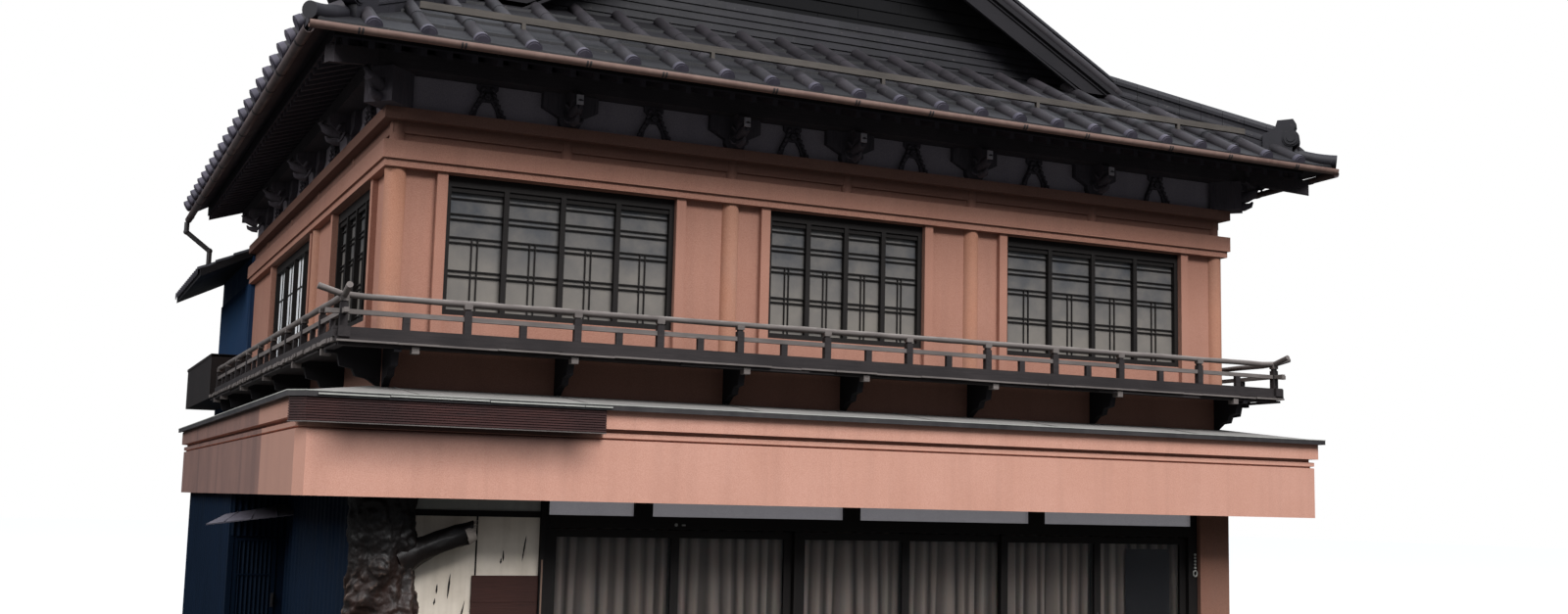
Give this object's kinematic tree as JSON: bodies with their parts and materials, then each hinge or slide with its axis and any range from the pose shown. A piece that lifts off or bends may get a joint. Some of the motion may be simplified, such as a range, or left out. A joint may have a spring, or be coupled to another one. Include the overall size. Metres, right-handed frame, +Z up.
{
  "type": "townhouse",
  "caption": "Two-storey timber shop house with tiled hip-and-gable roof, wrap-round balcony, sheet canopy, glazed shop front, tree-trunk corner post, side annex and rear wing.",
  "frame": {"origin": "on the ground, on the axis of the front corner columns, midway between them, under the shop front's threshold", "axes": "+X to the right of someone who faces the front, +Y from the street into the house, +Z up"},
  "size_m": [12.6802, 15.3701, 10.646],
  "materials": {
    "concrete": "cast, rough",
    "blue_sheet": "dark blue corrugated sheet, weathered",
    "cream_plaster": "cream plaster, cracked",
    "trunk_wood": "peeled tree trunk, gnarled",
    "terracotta_plaster": "terracotta roughcast plaster",
    "dark_frame": "dark stained timber",
    "clear_glass": "clear",
    "curtain_cloth": "pale gathered curtain",
    "grey_sheet": "seamed roofing sheet, weathered",
    "dark_boards": "dark stained boards",
    "floor_boards": "plain boards",
    "weathered_timber": "weathered timber",
    "obscured_glass": "obscured grey glass",
    "roof_tiles": "fired grey clay tiles, matt",
    "copper_gutter": "copper-brown, weathered"
  },
  "bodies": {
    "house": {"floor_slab": "concrete", "side_low_walls": "blue_sheet", "rear_low_wall": "blue_sheet", "plaster_front_wall": "cream_plaster", "corner_trunk_post": "trunk_wood", "right_corner_column": "terracotta_plaster", "shop_frame": "dark_frame", "fixed_sashes": "dark_frame", "shop_glass": "clear_glass", "shop_curtains": "curtain_cloth", "annex_walls": "blue_sheet", "door_hood": "grey_sheet", "canopy_soffit": "dark_boards", "canopy_fascia": "terracotta_plaster", "canopy_roof": "grey_sheet", "dark_corner_board": "dark_boards", "front_upper_wall": "terracotta_plaster", "side_upper_walls": "terracotta_plaster", "rear_upper_wall": "terracotta_plaster", "upper_floor": "floor_boards", "upper_columns": "terracotta_plaster", "window_jambs": "terracotta_plaster", "wall_beams": "terracotta_plaster", "frieze_bands": "terracotta_plaster", "frieze_posts": "terracotta_plaster", "bracket_plate": "terracotta_plaster", "bracket_sets": "weathered_timber", "frog_leg_struts": "weathered_timber", "eave_purlins": "weathered_timber", "window_sashes": "dark_frame", "window_glass": "obscured_glass", "balcony_deck": "weathered_timber", "balcony_brackets": "weathered_timber", "front_balustrade": "weathered_timber", "side_balustrades": "weathered_timber", "rafter_soffit": "dark_boards", "hip_rafters": "dark_boards", "front_roof_slope": "roof_tiles", "side_roof_slopes": "roof_tiles", "gable_front": "dark_boards", "gable_base": "roof_tiles", "barge_boards": "weathered_timber", "roof_ridges": "roof_tiles", "tile_ribs": "roof_tiles", "snow_guard": "weathered_timber", "rear_gable": "blue_sheet", "gutters": "copper_gutter", "downpipe": "copper_gutter", "wing_walls": "blue_sheet", "wing_roof": "roof_tiles", "wing_ridge": "roof_tiles", "balcony_cabinet": "dark_boards"},
    "shop_door_a": {"door_leaf_a": "dark_frame", "door_glass_a": "clear_glass"},
    "shop_door_b": {"door_leaf_b": "dark_frame", "door_glass_b": "clear_glass"},
    "shop_door_c": {"door_leaf_c": "dark_frame", "door_glass_c": "clear_glass"},
    "side_door": {"side_door": "blue_sheet"}
  },
  "joints": [
    {"name": "shop_door_a_slide", "type": "slide", "parent": "house", "child": "shop_door_a", "axis": [-1, 0, 0], "range_m": [0, 1.327]},
    {"name": "shop_door_b_slide", "type": "slide", "parent": "house", "child": "shop_door_b", "axis": [-1, 0, 0], "range_m": [0, 1.307]},
    {"name": "shop_door_c_slide", "type": "slide", "parent": "house", "child": "shop_door_c", "axis": [1, 0, 0], "range_m": [0, 1.307]},
    {"name": "side_door_hinge", "type": "hinge", "parent": "house", "child": "side_door", "pos_m": [-5.886, 5.01, 0], "axis": [0, 0, -1], "range_deg": [0, 100]}
  ]
}
